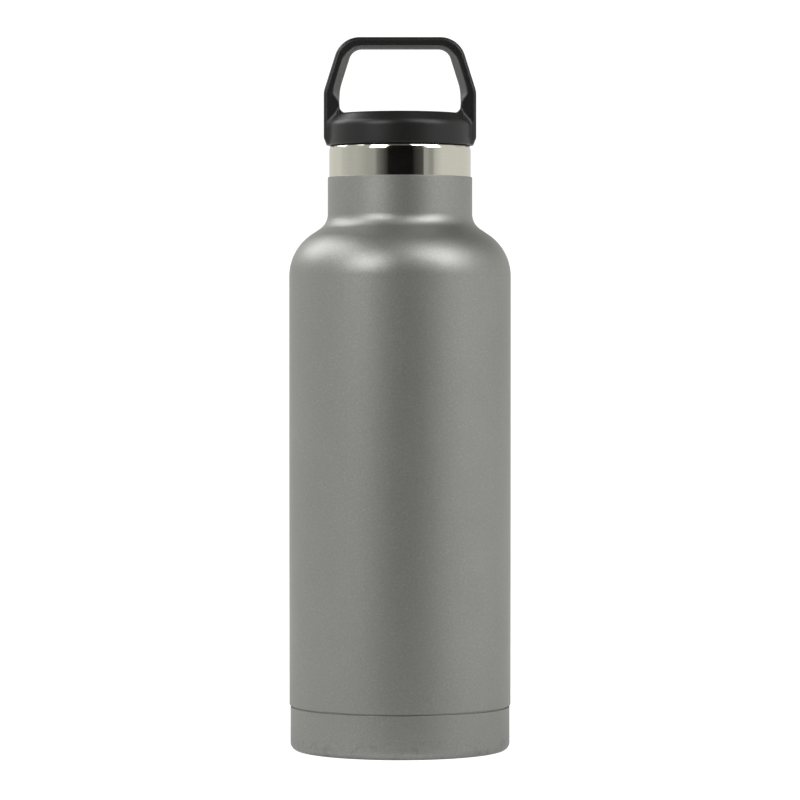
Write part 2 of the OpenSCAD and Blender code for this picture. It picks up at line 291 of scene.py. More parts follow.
def lathe(name, corners, segments, thread=None):
    """A turned solid from its section, which runs anticlockwise with the axis on the left.

    A section that starts on the axis ends on it too.
    thread is (wall radius, tip radius, lowest height).
    """
    on_axis = corners[0][0] == 0
    pts, nor = profile(corners if on_axis else looped(corners))
    if on_axis:
        caps = (pts[0].copy(), pts[-1].copy())
        pts, nor = pts[1:-1], nor[1:-1]
    else:
        pts, nor = pts[:-1], nor[:-1]
    if thread:
        wall_r, tip_r, thread_low = thread
        pts, nor = with_thread_rows(pts, nor, wall_r)
    angles = np.arange(segments) * 2 * math.pi / segments
    cos, sin = np.cos(angles)[None, :], np.sin(angles)[None, :]
    r = np.repeat(pts[:, :1], segments, axis=1)
    z = np.repeat(pts[:, 1:], segments, axis=1)
    n_r = np.repeat(nor[:, :1], segments, axis=1)
    n_t = np.zeros_like(n_r)
    n_z = np.repeat(nor[:, 1:], segments, axis=1)
    if thread:
        wall = np.abs(r - wall_r) < ON_WALL
        grow = tip_r - wall_r
        side = math.copysign(1, grow)
        spread = np.repeat(angles[None, :], len(pts), axis=0)
        probe_angle = PROBE / wall_r
        slope_z = (ridge_height(spread, z + PROBE, thread_low)
                   - ridge_height(spread, z - PROBE, thread_low)) / (2 * PROBE)
        slope_t = (ridge_height(spread + probe_angle, z, thread_low)
                   - ridge_height(spread - probe_angle, z, thread_low)) / (2 * PROBE)
        r = np.where(wall, r + grow * ridge_height(spread, z, thread_low), r)
        n_t = np.where(wall, -side * grow * slope_t, n_t)
        n_z = np.where(wall, -side * grow * slope_z, n_z)
    verts = np.stack([r * cos, r * sin, z], axis=-1).reshape(-1, 3)
    normals = np.stack([n_r * cos - n_t * sin, n_r * sin + n_t * cos, n_z], axis=-1)
    normals = normals.reshape(-1, 3)
    normals /= np.linalg.norm(normals, axis=1)[:, None]
    n = len(pts)
    faces = []
    for i in range(n - 1 if on_axis else n):
        here, there = i * segments, (i + 1) % n * segments
        for s in range(segments):
            t = (s + 1) % segments
            faces.append((here + s, here + t, there + t, there + s))
    if on_axis:
        for end, (row, cap) in enumerate(zip((0, n - 1), caps)):
            centre = len(verts)
            verts = np.vstack([verts, [0, 0, cap[1]]])
            normals = np.vstack([normals, [0, 0, nor[row][1]]])
            for s in range(segments):
                a, b = row * segments + s, row * segments + (s + 1) % segments
                faces.append((centre, b, a) if end == 0 else (centre, a, b))
    return mesh_object(name, verts, faces, normals)


def bottle_wall(side_r, arc_r, fillet_r, neck_r, low):
    """Corners of a wall's outline, from its straight side to the foot of the neck."""
    turn = math.pi / 2 - SHOULDER_ANGLE
    edge_z = SHOULDER_Z + arc_r * math.tan(turn / 2)
    neck_z = edge_z + (side_r - neck_r) * math.tan(SHOULDER_ANGLE)
    return [(side_r, low), (side_r, edge_z, arc_r), (neck_r, neck_z, fillet_r)]


def coated_body():
    """Outer shell, with a narrower step at its foot that goes into the base cup."""
    step_z = BASE_TOP_Z + GROOVE
    inner_r = STEP_R - WALL
    outside = bottle_wall(BODY_R, SHOULDER_R, NECK_FILLET_R, NECK_R, step_z)
    outside[0] = (BODY_R, step_z, 0.25)
    inside = bottle_wall(BODY_R - WALL, SHOULDER_R - WALL, NECK_FILLET_R + WALL, NECK_R - WALL,
                         step_z + WALL)
    return lathe("coated_body", [
        (inner_r, STEP_LOW_Z),
        (STEP_R, STEP_LOW_Z),
        (STEP_R, step_z, 0.12),
        *outside,
        (NECK_R, PAINT_Z, 0.18),
        (NECK_R - WALL, PAINT_Z),
        *reversed(inside),
        (inner_r, step_z + WALL, 0.12),
    ], FINE)


def base_cup():
    """The cup over the bottom, with a shallow recess underneath."""
    t = BASE_WALL
    return lathe("base_cup", [
        (0, RECESS_H),
        (RECESS_R - RECESS_H, RECESS_H, 0.8),
        (RECESS_R, 0, 0.7),
        (BASE_R, 0, BASE_EDGE_R),
        (BASE_R, BASE_TOP_Z, 0.22),
        (BASE_R - t, BASE_TOP_Z, 0.22),
        (BASE_R - t, t, BASE_EDGE_R - t),
        (RECESS_R + t, t, 0.4),
        (RECESS_R + t - RECESS_H, RECESS_H + t, 0.4),
        (0, RECESS_H + t),
    ], FINE)


def vacuum_plate():
    """The outer vacuum wall's bottom, with the evacuation port in its raised middle."""
    port_r, boss_r, dish_r = 1.0, 6.5, 8.0
    dish_edge_r, flange_r = STEP_R - 6, STEP_R - 4
    dish_z = PLATE_TOP_Z - 1.2
    flange_z = PLATE_TOP_Z - 0.2
    upper = [
        (port_r, PLATE_TOP_Z),
        (boss_r, PLATE_TOP_Z, 0.6),
        (dish_r, dish_z, 0.6),
        (dish_edge_r, dish_z, 0.8),
        (flange_r, flange_z, 0.8),
        (STEP_R, flange_z),
    ]
    lower = [(r, z - PLATE_T, *more) for r, z, *more in upper]
    return lathe("vacuum_plate", [*lower, *reversed(upper)], COARSE)


def inner_wall():
    outside = bottle_wall(VESSEL_R, VESSEL_ARC_R, VESSEL_FILLET_R, INNER_NECK_R, SEAM_Z)
    inside = bottle_wall(VESSEL_R - WALL, VESSEL_ARC_R - WALL, VESSEL_FILLET_R + WALL,
                         INNER_NECK_R - WALL, SEAM_Z)
    return lathe("inner_wall", [
        *outside,
        (INNER_NECK_R, COLLAR_LOW_Z),
        (INNER_NECK_R - WALL, COLLAR_LOW_Z),
        *reversed(inside),
    ], MEDIUM)


def inner_floor():
    """The vessel's bottom, with a weld bead that stands out from the wall by a hair."""
    edge_r = 4.0
    inner_r = VESSEL_R - WALL
    floor_z = INNER_FLOOR_Z + WALL
    bead_r = inner_r - 0.12
    return lathe("inner_floor", [
        (0, INNER_FLOOR_Z),
        (VESSEL_R, INNER_FLOOR_Z, edge_r),
        (VESSEL_R, SEAM_Z),
        (inner_r, SEAM_Z),
        (inner_r, SEAM_Z - 0.4),
        (bead_r, SEAM_Z - 0.7, 0.2),
        (bead_r, SEAM_Z - 1.3, 0.2),
        (inner_r, SEAM_Z - 1.6),
        (inner_r, floor_z, edge_r - WALL),
        (0, floor_z),
    ], MEDIUM)


def mouth_ring():
    """Bare steel ring: outer wall that curves in at the lip, and the inside thread."""
    chamfer_in, chamfer_low = 0.6, 0.9
    return lathe("mouth_ring", [
        (MOUTH_R, COLLAR_LOW_Z),
        (COLLAR_R, COLLAR_LOW_Z, 0.3),
        (COLLAR_R, LIP_CORNER_Z, LIP_CURVE_R),
        (COLLAR_R - LIP_IN, RIM_Z, 0.15),
        (MOUTH_R + chamfer_in, RIM_Z, 0.5),
        (MOUTH_R, RIM_Z - chamfer_low, 0.5),
    ], FINE, thread=(MOUTH_R, FEMALE_TIP_R, FEMALE_LOW_Z))


def seal_ring():
    """Silicone ring with a fine rib along its upper and its lower face."""
    inner, outer = 23.8, half_width("lid_seal")
    middle = (inner + outer) / 2
    rib_foot, rib_tip, rib_h = 0.5, 0.2, 0.18
    low, high = low_z("lid_seal"), high_z("lid_seal")
    low_face, high_face = low + rib_h, high - rib_h
    return lathe("seal_ring", [
        (inner, low_face, 0.2),
        (middle - rib_foot, low_face, 0.15),
        (middle - rib_tip, low, 0.15),
        (middle + rib_tip, low, 0.15),
        (middle + rib_foot, low_face, 0.15),
        (outer, low_face, 0.5),
        (outer, high_face, 0.5),
        (middle + rib_foot, high_face, 0.15),
        (middle + rib_tip, high, 0.15),
        (middle - rib_tip, high, 0.15),
        (middle - rib_foot, high_face, 0.15),
        (inner, high_face, 0.2),
    ], MEDIUM)


def threaded_plug():
    """The lid's inner half: thread, groove for the seal, and a closed, recessed lower end."""
    foot_z, foot_in_r, foot_out_r = PLUG_LOW_Z + 0.8, PLUG_R - 5.0, PLUG_R - 4.2
    groove_r, groove_low = 23.6, RIM_Z - 2.6
    lip_r, lip_low = PLUG_R + 0.4, groove_low - 0.9
    head_z = RIM_Z + 0.1
    floor_z = PLUG_LOW_Z + 2.0
    return lathe("threaded_plug", [
        (0, foot_z),
        (foot_in_r, foot_z, 0.5),
        (foot_out_r, PLUG_LOW_Z, 0.5),
        (PLUG_R, PLUG_LOW_Z, 1.0),
        (PLUG_R, lip_low, 0.25),
        (lip_r, lip_low, 0.2),
        (lip_r, groove_low, 0.2),
        (groove_r, groove_low, 0.25),
        (groove_r, head_z, 0.25),
        (PLUG_HEAD_R, head_z, 0.2),
        (PLUG_HEAD_R, CEILING_Z, 0.2),
        (PLUG_BORE_R, CEILING_Z, 0.2),
        (PLUG_BORE_R, floor_z, 0.6),
        (0, floor_z),
    ], FINE, thread=(PLUG_R, MALE_TIP_R, MALE_LOW_Z))


# ================================================================ lid and handle as one moulding


def outline(corners):
    """The straight stretches, arcs and fine polygon of a path of corners (x, z, radius)."""
    stretches, arcs, polygon = [], [], []
    c = [np.array(p[:2], float) for p in corners]
    at = c[0]
    polygon.append(at)
    for i in range(1, len(c)):
        radius = corners[i][2] if len(corners[i]) > 2 else 0
        if radius > 0 and i < len(c) - 1:
            a, b = unit(c[i] - c[i - 1]), unit(c[i + 1] - c[i])
            turn = turning(a, b)
            reach = radius * math.tan(abs(turn) / 2)
            start, end = c[i] - a * reach, c[i] + b * reach
            centre = start + np.array([-a[1], a[0]]) * math.copysign(radius, turn)
            middle = unit((start + end) / 2 - centre)
            stretches.append((at, start))
            arcs.append((centre, radius, middle, math.cos(abs(turn) / 2)))
            u, v = start - centre
            for k in range(OUTLINE_STEPS + 1):
                angle = turn * k / OUTLINE_STEPS
                s, cs = math.sin(angle), math.cos(angle)
                polygon.append(centre + [u * cs - v * s, u * s + v * cs])
            at = end
        else:
            stretches.append((at, c[i]))
            polygon.append(c[i])
            at = c[i]
    return stretches, arcs, polygon


def outline_distance(x, z, shape, low, high):
    """Signed distance to the right half of an outline, negative on the axis side of it."""
    stretches, arcs, polygon = shape
    best = np.full(np.broadcast(x, z).shape, 1e9)
    for p, q in stretches:
        d = q - p
        t = np.clip(((x - p[0]) * d[0] + (z - p[1]) * d[1]) / (d @ d), 0, 1)
        best = np.minimum(best, np.hypot(x - p[0] - t * d[0], z - p[1] - t * d[1]))
    for centre, radius, middle, reach in arcs:
        u, v = x - centre[0], z - centre[1]
        away = np.hypot(u, v)
        inside = (u * middle[0] + v * middle[1]) >= reach * away
        best = np.where(inside, np.minimum(best, np.abs(away - radius)), best)
    past_axis = -5.0
    ring = [np.array([past_axis, low]), *polygon, np.array([past_axis, high])]
    within = np.zeros(best.shape, bool)
    for k in range(len(ring)):
        p, q = ring[k - 1], ring[k]
        if p[1] == q[1]:
            continue
        edge_x = (q[0] - p[0]) * (z - p[1]) / (q[1] - p[1]) + p[0]
        within ^= ((p[1] > z) != (q[1] > z)) & (x < edge_x)
    return np.where(within, -best, best)


HANDLE_OUTER = outline([
    (LID_R + 0.1, FOOT_Z),
    (LEG_X, FOOT_Z + FOOT_CHAMFER, 1.0),
    (LEG_X, BEND_Z, OUTER_BEND_R),
    (LEG_X - (GRIP_Z - BEND_Z) * LEAN, GRIP_Z, OUTER_CORNER_R),
    (0, GRIP_Z),
])
HANDLE_OPENING = outline([
    (INNER_X, BEVEL_Z),
    (INNER_X, INNER_BEND_Z, INNER_BEND_R),
    (INNER_X - (OPENING_Z - INNER_BEND_Z) * LEAN, OPENING_Z, INNER_CORNER_R),
    (0, OPENING_Z),
])


def lid_field(x, y, z):
    """Signed distance to the moulded lid, in millimetres, close to exact near its surface."""
    r = np.hypot(x, y)
    ax, ay = np.abs(x), np.abs(y)
    rise, run = TOP_Z - BEVEL_Z, LID_R - TOP_R
    length = math.hypot(rise, run)
    bevel = ((r - LID_R) * rise + (z - BEVEL_Z) * run) / length
    cap = smooth_max(r - LID_R, bevel, BEVEL_BLEND)
    cap = smooth_max(cap, z - TOP_Z, EDGE_BLEND)
    outer = outline_distance(ax, z, HANDLE_OUTER, FOOT_Z, GRIP_Z)
    opening = outline_distance(ax, z, HANDLE_OPENING, BEVEL_Z, OPENING_Z)
    front = ay - HALF_DEPTH
    grip = eased(z, GRIP_LOW_Z, OPENING_Z)
    width = (LEG_TAPER + (GRIP_TAPER - LEG_TAPER) * grip) * eased(z, TAPER_LOW_Z, TAPER_HIGH_Z)
    flat = LEG_FLAT + (GRIP_FLAT - LEG_FLAT) * grip
    slope = width / (HALF_DEPTH - flat)
    inner = (slope * (ay - flat) - opening) / np.sqrt(1 + slope * slope)
    inner = smooth_max(inner, -opening, TAPER_BLEND)
    handle = np.maximum(rounded_max(outer, front, OUTER_EDGE_R),
                        rounded_max(inner, front, INNER_EDGE_R))
    root = eased(z, ROOT_LOW_Z, ROOT_HIGH_Z) * eased(-ax, -INNER_X - ROOT_REACH, -INNER_X)
    solid = smooth_min(cap, handle, LEG_BLEND + (ROOT_FILLET - LEG_BLEND) * root)
    solid = smooth_max(solid, LID_Z - z, EDGE_BLEND)
    cavity = smooth_max(r - CAVITY_R, z - CEILING_Z, CEILING_BLEND)
    return smooth_max(solid, -cavity, CAVITY_BLEND)


def field_normals(field, p):
    """Unit gradients of a field at points p, and how steep it is there."""
    x, y, z = p.T
    d = PROBE
    g = np.stack([
        field(x + d, y, z) - field(x - d, y, z),
        field(x, y + d, z) - field(x, y - d, z),
        field(x, y, z + d) - field(x, y, z - d),
    ], axis=1) / (2 * d)
    size = np.linalg.norm(g, axis=1)
    return g / np.maximum(size, 1e-9)[:, None], size


def field_mesh(name, field, low, high, cell):
    """A mesh over a field's zero surface: one point in each cell it crosses, moved onto it."""
    axes = [np.arange(a, b + cell, cell) for a, b in zip(low, high)]
    f = field(axes[0][:, None, None], axes[1][None, :, None], axes[2][None, None, :])
    shape = tuple(n - 1 for n in f.shape)
    total = np.zeros(shape + (3,))
    count = np.zeros(shape)
    crossings = []
    for a in range(3):
        lower = [slice(None)] * 3
        upper = [slice(None)] * 3
        lower[a], upper[a] = slice(None, -1), slice(1, None)
        f0, f1 = f[tuple(lower)], f[tuple(upper)]
        crossed = (f0 < 0) != (f1 < 0)
        crossings.append((crossed, f0 < 0))
        share = np.where(crossed, f0 / np.where(crossed, f0 - f1, 1), 0)
        b, c = [k for k in range(3) if k != a]
        for db in (0, 1):
            for dc in (0, 1):
                part = [slice(None)] * 3
                part[b] = slice(db, db + shape[b])
                part[c] = slice(dc, dc + shape[c])
                hit, t = crossed[tuple(part)], share[tuple(part)]
                count += hit
                total[..., a] += np.where(hit, t, 0)
                total[..., b] += hit * db
                total[..., c] += hit * dc
    active = count > 0
    number = np.full(shape, -1)
    number[active] = np.arange(active.sum())
    cells = np.argwhere(active)
    p = (cells + total[active] / count[active][:, None]) * cell + np.array([ax[0] for ax in axes])
    faces = []
    for a in range(3):
        crossed, inside = crossings[a]
        b, c = (a + 1) % 3, (a + 2) % 3
        at = np.argwhere(crossed)
        keep = (at[:, b] > 0) & (at[:, c] > 0) & (at[:, b] < shape[b]) & (at[:, c] < shape[c])
        at = at[keep]
        quad = []
        for db, dc in ((1, 1), (0, 1), (0, 0), (1, 0)):
            q = at.copy()
            q[:, b] -= db
            q[:, c] -= dc
            quad.append(number[q[:, 0], q[:, 1], q[:, 2]])
        quad = np.stack(quad, axis=1)
        turned = ~inside[at[:, 0], at[:, 1], at[:, 2]]
        quad[turned] = quad[turned][:, ::-1]
        faces.append(quad)
    faces = np.concatenate(faces)
    for _ in range(SETTLING_ROUNDS):
        n, size = field_normals(field, p)
        step = np.clip(field(*p.T) / np.maximum(size, 0.3), -0.5 * cell, 0.5 * cell)
        p = p - n * step[:, None]
    n, _ = field_normals(field, p)
    return mesh_object(name, p, faces.tolist(), n)


def moulded_lid():
    low = (-LEG_X - LID_MARGIN, -LID_R - LID_MARGIN, LID_Z - LID_MARGIN)
    high = (LEG_X + LID_MARGIN, LID_R + LID_MARGIN, GRIP_Z + LID_MARGIN)
    return field_mesh("moulded_lid", lid_field, low, high, LID_CELL)


# ================================================================ materials


def shade(tone, factor):
    return tuple(c * factor for c in tone)


def set_range(node, *limits):
    """Sets a Map Range node to take the first two limits to the last two."""
    for key, number in zip(("From Min", "From Max", "To Min", "To Max"), limits):
        node.inputs[key].default_value = number


class Nodes:
    """Adds nodes to one material's tree and links them."""

    def __init__(self, name):
        self.material = bpy.data.materials.new(name)
        self.material.use_nodes = True
        self.tree = self.material.node_tree
        self.tree.nodes.clear()
        self.shader = self.tree.nodes.new("ShaderNodeBsdfPrincipled")
        out = self.tree.nodes.new("ShaderNodeOutputMaterial")
        self.tree.links.new(self.shader.outputs["BSDF"], out.inputs["Surface"])
        self.place = self.tree.nodes.new("ShaderNodeTexCoord").outputs["Object"]

    def link(self, source, target):
        self.tree.links.new(source, target)

    def put(self, value, socket):
        """A number or colour is set on the socket, and an output is linked to it."""
        if isinstance(value, bpy.types.NodeSocket):
            self.link(value, socket)
        elif isinstance(value, tuple) and len(value) == 3 and socket.type == "RGBA":
            socket.default_value = (*value, 1)
        else:
            socket.default_value = value

    def scaled(self, x, y, z):
        node = self.tree.nodes.new("ShaderNodeMapping")
        node.inputs["Scale"].default_value = (x, y, z)
        self.link(self.place, node.inputs["Vector"])
        return node.outputs["Vector"]

    def noise(self, scale, detail=2.0, roughness=0.5, place=None, distortion=0.0):
        node = self.tree.nodes.new("ShaderNodeTexNoise")
        self.link(place or self.place, node.inputs["Vector"])
        node.inputs["Scale"].default_value = scale
        node.inputs["Detail"].default_value = detail
        node.inputs["Roughness"].default_value = roughness
        node.inputs["Distortion"].default_value = distortion
        return node.outputs["Fac"]

    def flakes(self, scale):
        """A random number for each small cell."""
        node = self.tree.nodes.new("ShaderNodeTexVoronoi")
        self.link(self.place, node.inputs["Vector"])
        node.inputs["Scale"].default_value = scale
        split = self.tree.nodes.new("ShaderNodeSeparateColor")
        self.link(node.outputs["Color"], split.inputs["Color"])
        return split.outputs["Red"]

    def coordinates(self):
        node = self.tree.nodes.new("ShaderNodeSeparateXYZ")
        self.link(self.place, node.inputs["Vector"])
        return node.outputs

    def height(self):
        return self.coordinates()["Z"]

    def math(self, operation, a, b=0.0):
        node = self.tree.nodes.new("ShaderNodeMath")
        node.operation = operation
        self.put(a, node.inputs[0])
        self.put(b, node.inputs[1])
        return node.outputs[0]

    def span(self, value, a, b, low=0.0, high=1.0):
        """Maps value from a..b to low..high, and no further."""
        node = self.tree.nodes.new("ShaderNodeMapRange")
        self.put(value, node.inputs["Value"])
        set_range(node, a, b, low, high)
        return node.outputs["Result"]

    def mix(self, share, a, b):
        node = self.tree.nodes.new("ShaderNodeMix")
        node.data_type = "RGBA"
        self.put(share, node.inputs["Factor"])
        self.put(a, node.inputs[6])
        self.put(b, node.inputs[7])
        return node.outputs[2]

    def blend(self, pattern, a, b):
        """From colour a to colour b over the middle of a pattern's range."""
        return self.mix(self.span(pattern, 0.3, 0.7), a, b)

    def bump(self, height, strength, distance, under=None):
        node = self.tree.nodes.new("ShaderNodeBump")
        node.inputs["Strength"].default_value = strength
        node.inputs["Distance"].default_value = distance
        self.link(height, node.inputs["Height"])
        if under:
            self.link(under, node.inputs["Normal"])
        return node.outputs["Normal"]


def set_inputs(m, values):
    for key, value in values.items():
        m.put(value, m.shader.inputs[key])
    return m.material


def powder_coat(name, tone, low_edge):
    """Grey powder coat with fine flakes; low_edge is the height under which it is scuffed."""
    m = Nodes(name)
    cloud = m.noise(38, 3, 0.55)
    grain = m.noise(1500, 3, 0.65)
    flake = m.flakes(2300)
    colour = m.blend(grain, shade(tone, 0.91), shade(tone, 1.09))
    colour = m.mix(m.span(flake, 0.90, 1.0, 0.0, 0.16), colour, (0.62, 0.62, 0.60))
    colour = m.mix(m.span(cloud, 0.35, 0.65, 0.0, 0.10), colour, shade(tone, 0.72))
    fade_height = 0.004
    scuffs = m.math("MULTIPLY", m.span(m.height(), low_edge, low_edge + fade_height, 1.0, 0.0),
                    m.span(m.noise(260, 4, 0.7, distortion=0.6), 0.52, 0.66, 0.0, 0.5))
    colour = m.mix(scuffs, colour, shade(tone, 0.66))
    rough = m.math("ADD", m.span(grain, 0.25, 0.75, 0.41, 0.49),
                   m.span(cloud, 0.3, 0.7, -0.02, 0.03))
    rough = m.math("ADD", rough, m.math("MULTIPLY", scuffs, 0.12))
    normal = m.bump(m.noise(900, 3, 0.6), 0.22, 0.00006)
    normal = m.bump(flake, 0.10, 0.00004, normal)
    return set_inputs(m, {
        "Base Color": colour,
        "Metallic": 0.92,
        "Roughness": rough,
        "Normal": normal,
    })


def steel(name, tone, rough, lines, ring_scale):
    """Steel with fine lines that run round the axis."""
    m = Nodes(name)
    fine = m.noise(1.0, 3, 0.6, m.scaled(60, 60, ring_scale))
    smudge = m.noise(70, 4, 0.6, distortion=0.4)
    colour = m.blend(fine, shade(tone, 0.94), tone)
    colour = m.mix(m.span(smudge, 0.45, 0.75, 0.0, 0.16), colour, shade(tone, 0.78))
    return set_inputs(m, {
        "Base Color": colour,
        "Metallic": 1.0,
        "Roughness": m.math("ADD", m.span(smudge, 0.35, 0.75, rough, rough + 0.05),
                            m.span(fine, 0.4, 0.7, 0.0, rough * 0.4)),
        "Normal": m.bump(fine, lines, 0.00003),
    })


def facing_point(m, point):
    """How squarely a surface faces a point: 1 straight on, 0 side-on."""
    towards = m.tree.nodes.new("ShaderNodeVectorMath")
    towards.operation = "SUBTRACT"
    towards.inputs[0].default_value = point
    m.link(m.place, towards.inputs[1])
    straight = m.tree.nodes.new("ShaderNodeVectorMath")
    straight.operation = "NORMALIZE"
    m.link(towards.outputs["Vector"], straight.inputs[0])
    dot = m.tree.nodes.new("ShaderNodeVectorMath")
    dot.operation = "DOT_PRODUCT"
    m.link(straight.outputs["Vector"], dot.inputs[0])
    m.link(m.place.node.outputs["Normal"], dot.inputs[1])
    return dot.outputs["Value"]


def inside_handle(m):
    """1 on the handle's faces round the opening, 0 elsewhere: where the painted highlight and
    rougher finish go.
    """
    middle = (0, 0, (TOP_Z + 12) * MM)
    facing = m.span(facing_point(m, middle), 0.38, 0.55)
    above = m.span(m.height(), (TOP_Z + 3) * MM, (TOP_Z + 7) * MM)
    return m.math("MULTIPLY", facing, above)


def plastic(name, tone, rough, grain_scale, grain_depth, painted_light_tone=None):
    """Moulded plastic, finely grained, with rubbed spots; the last tone is a painted highlight
    inside the handle.
    """
    m = Nodes(name)
    grain = m.noise(grain_scale, 3, 0.6)
    cloud = m.noise(55, 4, 0.6, distortion=0.3)
    speck = m.noise(600, 2, 0.5)
    colour = m.mix(m.span(cloud, 0.35, 0.7), tone, shade(tone, 1.5))
    colour = m.mix(m.span(speck, 0.62, 0.78, 0.0, 0.3), colour, shade(tone, 2.4))
    roughness = m.math("ADD", m.span(grain, 0.3, 0.7, rough - 0.03, rough + 0.05),
                       m.span(cloud, 0.4, 0.7, 0.0, -0.05))
    if painted_light_tone:
        matt_and_painted_light = inside_handle(m)
        # Painted highlight: inner faces get a lighter grey for the light their bevels catch; the
        # extra roughness is real
        colour = m.mix(matt_and_painted_light, colour, m.blend(grain, shade(painted_light_tone, 0.8), painted_light_tone))
        roughness = m.math("ADD", roughness, m.math("MULTIPLY", matt_and_painted_light, 0.12))
    return set_inputs(m, {
        "Base Color": colour,
        "Roughness": roughness,
        "Specular IOR Level": 0.43,
        "Normal": m.bump(grain, grain_depth, 0.00004),
    })


def silicone():
    m = Nodes("silicone")
    haze = m.noise(220, 3, 0.5)
    dust = m.noise(1400, 2, 0.6)
    colour = m.blend(haze, (0.60, 0.60, 0.57), (0.70, 0.70, 0.67))
    return set_inputs(m, {
        "Base Color": m.mix(m.span(dust, 0.60, 0.75, 0.0, 0.25), colour, (0.45, 0.44, 0.41)),
        "Roughness": m.span(haze, 0.3, 0.7, 0.42, 0.55),
        "Subsurface Weight": 0.15,
        "Subsurface Radius": (0.002, 0.002, 0.0018),
        "Subsurface Scale": 0.5,
        "Normal": m.bump(dust, 0.08, 0.00004),
    })


def foam():
    """Cream foam with open cells, darkened in each cell's middle as painted shade in its hollow."""
    m = Nodes("foam")
    voronoi = m.tree.nodes.new("ShaderNodeTexVoronoi")
    voronoi.inputs["Scale"].default_value = 1300
    m.link(m.place, voronoi.inputs["Vector"])
    cells = voronoi.outputs["Distance"]
    tint = m.noise(90, 3, 0.5)
    colour = m.blend(tint, (0.80, 0.74, 0.56), (0.88, 0.84, 0.70))
    return set_inputs(m, {
        # Painted shade: darker towards the middle of each cell
        "Base Color": m.mix(m.span(cells, 0.0, 0.5, 0.35, 0.0), colour, (0.55, 0.48, 0.33)),
        "Roughness": m.span(tint, 0.3, 0.7, 0.82, 0.95),
        "Normal": m.bump(cells, 0.6, 0.0003),
    })


def foil():
    """Thin metal foil with crinkles."""
    m = Nodes("foil")
    crinkle = m.noise(160, 5, 0.7, distortion=1.2)
    return set_inputs(m, {
        "Base Color": m.blend(crinkle, (0.78, 0.79, 0.80), (0.88, 0.88, 0.88)),
        "Metallic": 1.0,
        "Roughness": m.span(crinkle, 0.3, 0.7, 0.14, 0.3),
        "Normal": m.bump(crinkle, 0.5, 0.0002),
    })


def solder_glass():
    m = Nodes("solder_glass")
    bubbles = m.noise(700, 3, 0.6)
    return set_inputs(m, {
        "Base Color": m.mix(m.span(bubbles, 0.4, 0.65), (0.12, 0.16, 0.11), (0.30, 0.34, 0.24)),
        "Roughness": m.span(bubbles, 0.3, 0.7, 0.12, 0.3),
        "Normal": m.bump(bubbles, 0.25, 0.0001),
    })


def pressed_powder():
    m = Nodes("pressed_powder")
    grit = m.noise(1800, 4, 0.7)
    return set_inputs(m, {
        "Base Color": m.blend(grit, (0.14, 0.14, 0.15), (0.26, 0.26, 0.27)),
        "Metallic": 0.6,
        "Roughness": m.span(grit, 0.3, 0.7, 0.55, 0.75),
        "Normal": m.bump(grit, 0.5, 0.0001),
    })


# ================================================================ the pieces

COAT = (0.315, 0.317, 0.299)
POLISHED = (0.728, 0.714, 0.613)
SATIN = (0.60, 0.59, 0.57)
LID_BLACK = (0.0045, 0.0046, 0.0043)
# Painted highlight for the handle's inner faces
HANDLE_PAINTED_LIGHT = (0.130, 0.131, 0.124)
PLUG_BLACK = (0.016, 0.016, 0.016)

coat = powder_coat("powder_coat", COAT, low_edge=0.002)
base_coat = powder_coat("powder_coat_base", COAT, low_edge=0.0045)
polished = steel("polished_steel", POLISHED, rough=0.055, lines=0.05, ring_scale=9000)
satin = steel("satin_steel", SATIN, rough=0.24, lines=0.25, ring_scale=5000)
lid_plastic = plastic("black_plastic", LID_BLACK, 0.40, 2600, 0.22, HANDLE_PAINTED_LIGHT)
plug_plastic = plastic("plug_plastic", PLUG_BLACK, 0.42, 1800, 0.25)


def add(piece, body, slot, material, *nodes):
    piece.data.materials.append(material)
    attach(piece, body)
    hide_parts(*nodes)


add(coated_body(), "bottle", "powder_coat", coat, "outer_shell")
add(base_cup(), "bottle", "powder_coat", base_coat, "base_cap")
add(vacuum_plate(), "bottle", "plain_steel", satin, "vacuum_bottom")
add(inner_wall(), "bottle", "plain_steel", satin, "inner_vessel")
add(inner_floor(), "bottle", "plain_steel", satin, "inner_bottom")
add(mouth_ring(), "bottle", "polished_steel", polished, "mouth_collar")
add(seal_ring(), "seal", "silicone", silicone(), "lid_seal")
add(threaded_plug(), "lid", "plug_plastic", plug_plastic, "lid_plug")
add(moulded_lid(), "lid", "black_plastic", lid_plastic, "lid_shell")

for node, material in (
    ("port_seal", solder_glass()),
    ("getter", pressed_powder()),
    ("getter_clip", satin),
    ("heat_shield", foil()),
    ("lid_foam", foam()),
):
    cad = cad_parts[node]
    cad.data.materials.clear()
    cad.data.materials.append(material)

# ================================================================ studio


def stage_mesh(name, verts, faces, material):
    mesh = bpy.data.meshes.new(name)
    mesh.from_pydata(verts, [], faces)
    mesh.materials.append(material)
    obj = bpy.data.objects.new(name, mesh)
    bpy.context.scene.collection.objects.link(obj)
    return obj


